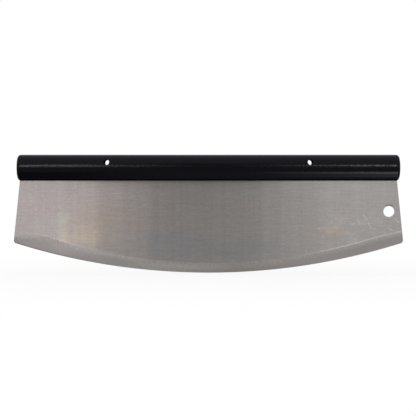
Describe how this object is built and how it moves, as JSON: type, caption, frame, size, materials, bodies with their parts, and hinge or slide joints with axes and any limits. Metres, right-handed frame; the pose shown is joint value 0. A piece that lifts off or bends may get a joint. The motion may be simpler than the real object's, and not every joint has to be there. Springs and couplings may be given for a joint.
{
  "type": "rocking pizza knife",
  "caption": "Rocking pizza knife: wide stainless blade with a curved ground edge and a hanging hole, moulded into a round black bar handle.",
  "frame": {"origin": "lowest point of the cutting edge, at mid-length, in the blade's middle plane", "axes": "+X along the handle towards the end with the hanging hole, +Y through the blade's thickness, +Z from the cutting edge up to the handle"},
  "size_m": [0.3556, 0.0238, 0.1078],
  "materials": {
    "blade_steel": "brushed along the blade, with a band ground across it along the edge",
    "handle_plastic": "black, glossy, slightly wavy along its length"
  },
  "bodies": {
    "root": {"blade": "blade_steel", "handle": "handle_plastic"}
  },
  "joints": []
}
